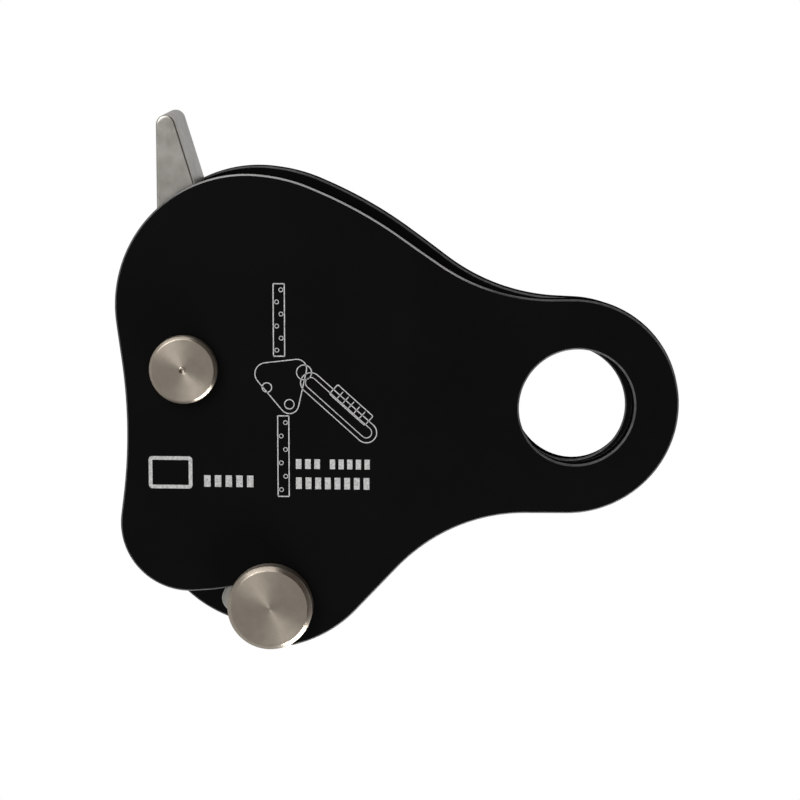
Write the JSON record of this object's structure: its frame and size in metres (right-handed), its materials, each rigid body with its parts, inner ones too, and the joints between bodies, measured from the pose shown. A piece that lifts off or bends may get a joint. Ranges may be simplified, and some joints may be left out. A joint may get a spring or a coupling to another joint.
{
  "type": "ascender",
  "caption": "Cam ascender for a single climbing rope: bent black side plates, sprung toothed cam with release lever, fixed anvil and a swinging front plate that hooks under a headed stud.",
  "frame": {"origin": "centre of the cam axle's riveted end, in the rear plate's outer face", "axes": "+Z from the rear plate to the front plate, +X towards the carabiner eye, +Y up the release lever"},
  "size_m": [0.0907, 0.0866, 0.023],
  "materials": {
    "anodised_plate": "matt black anodised",
    "turned_steel": "turned, circular tool marks",
    "cast_steel": "tumbled casting",
    "spring_steel": "bright drawn",
    "bronze": "plain bearing bronze"
  },
  "bodies": {
    "frame": {"rear_plate": "anodised_plate", "cam_axle": "turned_steel", "head_washer": "spring_steel", "cam_washer_front": "spring_steel", "cam_spacer_rear": "spring_steel", "spring_anchor_pin": "turned_steel", "cam_stop_pin": "turned_steel", "anvil": "cast_steel", "anvil_rivet_upper": "turned_steel", "anvil_rivet_middle": "turned_steel", "lock_stud": "turned_steel", "stud_washer": "spring_steel"},
    "cam": {"cam_lever": "cast_steel", "cam_bush_rear": "bronze", "cam_bush_front": "bronze", "cam_spring": "spring_steel"},
    "side_plate": {"front_plate": "anodised_plate", "front_pivot_bush": "bronze"}
  },
  "joints": [
    {"name": "cam_swing", "type": "hinge", "parent": "frame", "child": "cam", "pos_m": [0, 0, 0.0097], "axis": [0, 0, 1], "range_deg": [-56, 0], "stiffness_Nm_per_rad": 0.034, "springref_deg": 34.38, "deforming": ["cam_spring"]},
    {"name": "front_plate_swing", "type": "hinge", "parent": "frame", "child": "side_plate", "pos_m": [0, 0, 0.0183], "axis": [0, 0, 1], "range_deg": [-0.86, 100]}
  ]
}
